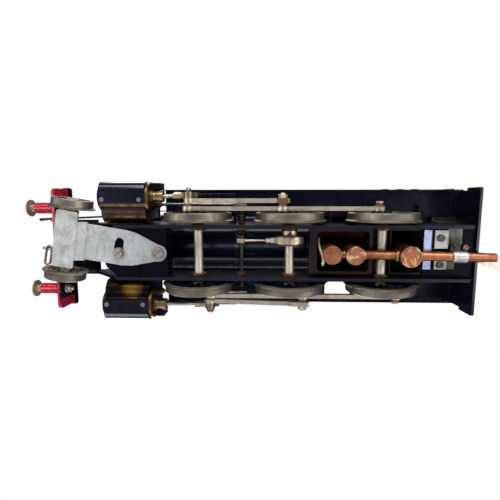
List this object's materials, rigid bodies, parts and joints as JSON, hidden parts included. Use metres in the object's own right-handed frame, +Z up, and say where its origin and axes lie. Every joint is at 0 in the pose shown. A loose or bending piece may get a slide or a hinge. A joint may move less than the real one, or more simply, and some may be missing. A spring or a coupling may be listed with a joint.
{
  "type": "model steam locomotive",
  "caption": "Live-steam model tender engine with outside cylinders, coupled driving wheels, a swinging pony truck and a spirit burner under the boiler.",
  "frame": {"origin": "on the centre line at rail-top level, below the middle driving axle", "axes": "+X forwards to the front buffers, +Y to the engine's left, +Z up"},
  "size_m": [0.3257, 0.091, 0.1251],
  "materials": {
    "black_paint": "gloss",
    "red_paint": "satin gloss",
    "steel": "turned and slightly tarnished",
    "tyre_steel": "turned tread",
    "nickel_silver": "satin",
    "zinc_plate": "zinc plated",
    "bronze": "oiled bronze",
    "brass": "bright",
    "copper": "heat-stained copper",
    "stained_sheet": "heat-stained",
    "wick": "packed yarn",
    "glass": "clear",
    "rubber": "matte",
    "screw_steel": "bright"
  },
  "bodies": {
    "chassis": {"axle_bushes": "bronze", "backhead": "black_paint", "boiler_bands": "black_paint", "boiler_barrel": "black_paint", "brake_hose": "rubber", "buffer_beam": "red_paint", "buffer_stocks": "red_paint", "burner": "copper", "burner_housing": "stained_sheet", "cab": "black_paint", "chimney": "black_paint", "coupling_hook": "steel", "cylinder_blocks": "bronze", "cylinder_covers": "black_paint", "cylinder_wrappers": "black_paint", "drag_beam": "black_paint", "firebox_wrapper": "black_paint", "frame_stretchers": "black_paint", "front_platform": "black_paint", "gauge_glass": "glass", "gland_nuts": "brass", "handrails": "steel", "inner_boiler": "copper", "rear_blocks": "zinc_plate", "running_boards": "black_paint", "safety_valves": "brass", "screws": "screw_steel", "side_frames": "black_paint", "slide_bars": "black_paint", "smokebox": "black_paint", "steam_dome": "black_paint", "wicks": "wick"},
    "wheelset_front": {"axle_front": "steel", "wheels_front": "black_paint", "tyres_front": "tyre_steel"},
    "wheelset_driving": {"axle_driving": "steel", "wheels_driving": "black_paint", "tyres_driving": "tyre_steel", "eccentric": "nickel_silver"},
    "wheelset_rear": {"axle_rear": "steel", "wheels_rear": "black_paint", "tyres_rear": "tyre_steel"},
    "coupling_rod_left": {"coupling_rod_left": "nickel_silver"},
    "coupling_rod_right": {"coupling_rod_right": "nickel_silver"},
    "connecting_rod_left": {"connecting_rod_left": "nickel_silver"},
    "connecting_rod_right": {"connecting_rod_right": "nickel_silver"},
    "crosshead_left": {"crosshead_left": "brass"},
    "crosshead_right": {"crosshead_right": "brass"},
    "eccentric_strap": {"eccentric_strap": "nickel_silver"},
    "rocker": {"rocker_shaft": "steel"},
    "valves": {"valve_spindles": "steel"},
    "pony_truck": {"pony_plate": "zinc_plate"},
    "pony_wheelset": {"pony_wheelset": "tyre_steel"},
    "buffer_left": {"buffer_left": "nickel_silver"},
    "buffer_right": {"buffer_right": "nickel_silver"},
    "coupling_link": {"coupling_link": "steel"},
    "drawbar": {"drawbar": "nickel_silver"},
    "smokebox_door": {"smokebox_door": "black_paint"},
    "cab_roof": {"cab_roof": "black_paint"},
    "regulator": {"regulator_handle": "steel"}
  },
  "joints": [
    {"name": "driving_wheels_turn", "type": "hinge", "parent": "chassis", "child": "wheelset_driving", "pos_m": [0, 0, 0.02225], "axis": [0, 1, 0], "continuous": true},
    {"name": "front_wheels_turn", "type": "hinge", "parent": "chassis", "child": "wheelset_front", "pos_m": [0.06, 0, 0.02225], "axis": [0, 1, 0], "continuous": true},
    {"name": "rear_wheels_turn", "type": "hinge", "parent": "chassis", "child": "wheelset_rear", "pos_m": [-0.06, 0, 0.02225], "axis": [0, 1, 0], "continuous": true},
    {"name": "coupling_rod_left_pin", "type": "hinge", "parent": "wheelset_driving", "child": "coupling_rod_left", "pos_m": [0.005, 0.0285, 0.01359], "axis": [0, 1, 0], "continuous": true},
    {"name": "coupling_rod_right_pin", "type": "hinge", "parent": "wheelset_driving", "child": "coupling_rod_right", "pos_m": [-0.00866, -0.0285, 0.01725], "axis": [0, 1, 0], "continuous": true},
    {"name": "connecting_rod_left_pin", "type": "hinge", "parent": "wheelset_driving", "child": "connecting_rod_left", "pos_m": [0.005, 0.0334, 0.01359], "axis": [0, 1, 0], "continuous": true},
    {"name": "connecting_rod_right_pin", "type": "hinge", "parent": "wheelset_driving", "child": "connecting_rod_right", "pos_m": [-0.00866, -0.0334, 0.01725], "axis": [0, 1, 0], "continuous": true},
    {"name": "eccentric_strap_turn", "type": "hinge", "parent": "wheelset_driving", "child": "eccentric_strap", "pos_m": [0.001, 0.0082, 0.01945], "axis": [0, 1, 0], "continuous": true},
    {"name": "crosshead_left_slide", "type": "slide", "parent": "chassis", "child": "crosshead_left", "axis": [1, 0, 0], "range_m": [-0.01439, 0.00561]},
    {"name": "crosshead_right_slide", "type": "slide", "parent": "chassis", "child": "crosshead_right", "axis": [1, 0, 0], "range_m": [-0.00114, 0.01886]},
    {"name": "rocker_swing", "type": "hinge", "parent": "chassis", "child": "rocker", "pos_m": [0.0315, 0, 0.025], "axis": [0, 1, 0], "range_deg": [-19, 19]},
    {"name": "valve_spindle_slide", "type": "slide", "parent": "chassis", "child": "valves", "axis": [1, 0, 0], "range_m": [-0.00436, 0.00436]},
    {"name": "pony_truck_swing", "type": "hinge", "parent": "chassis", "child": "pony_truck", "pos_m": [0.0844, 0, 0.0126], "axis": [0, 0, 1], "range_deg": [-18.2, 0.4]},
    {"name": "pony_wheels_turn", "type": "hinge", "parent": "pony_truck", "child": "pony_wheelset", "pos_m": [0.14198, 0.00912, 0.0125], "axis": [-0.1564, 0.9877, 0], "continuous": true},
    {"name": "buffer_left_slide", "type": "slide", "parent": "chassis", "child": "buffer_left", "axis": [1, 0, 0], "range_m": [-0.003, 0], "stiffness_N_per_m": 300, "springref_m": 0.002},
    {"name": "buffer_right_slide", "type": "slide", "parent": "chassis", "child": "buffer_right", "axis": [1, 0, 0], "range_m": [-0.003, 0], "stiffness_N_per_m": 300, "springref_m": 0.002},
    {"name": "coupling_link_swing", "type": "hinge", "parent": "chassis", "child": "coupling_link", "pos_m": [0.1652, 0, 0.0328], "axis": [0, 0.9397, 0.342], "range_deg": [-5, 100]},
    {"name": "drawbar_swing", "type": "hinge", "parent": "chassis", "child": "drawbar", "pos_m": [-0.112, 0, 0.025], "axis": [0, 0, 1], "range_deg": [-36.5, 2]},
    {"name": "smokebox_door_open", "type": "hinge", "parent": "chassis", "child": "smokebox_door", "pos_m": [0.1301, 0.0204, 0.078], "axis": [0, 0, 1], "range_deg": [0, 100]},
    {"name": "cab_roof_open", "type": "hinge", "parent": "chassis", "child": "cab_roof", "pos_m": [-0.0985, 0.0422, 0.103], "axis": [1, 0, 0], "range_deg": [-75, 0]},
    {"name": "regulator_turn", "type": "hinge", "parent": "chassis", "child": "regulator", "pos_m": [-0.096, 0, 0.092], "axis": [1, 0, 0], "range_deg": [-60, 15]}
  ],
  "couplings": [
    {"joint": "front_wheels_turn", "follows": "driving_wheels_turn", "ratio": 1},
    {"joint": "rear_wheels_turn", "follows": "driving_wheels_turn", "ratio": 1},
    {"joint": "coupling_rod_left_pin", "follows": "driving_wheels_turn", "ratio": -1},
    {"joint": "coupling_rod_right_pin", "follows": "driving_wheels_turn", "ratio": -1},
    {"joint": "connecting_rod_left_pin", "follows": "driving_wheels_turn", "ratio": -1},
    {"joint": "connecting_rod_right_pin", "follows": "driving_wheels_turn", "ratio": -1},
    {"joint": "eccentric_strap_turn", "follows": "driving_wheels_turn", "ratio": -1},
    {"joint": "valve_spindle_slide", "follows": "rocker_swing", "m_per_rad": 0.013}
  ]
}
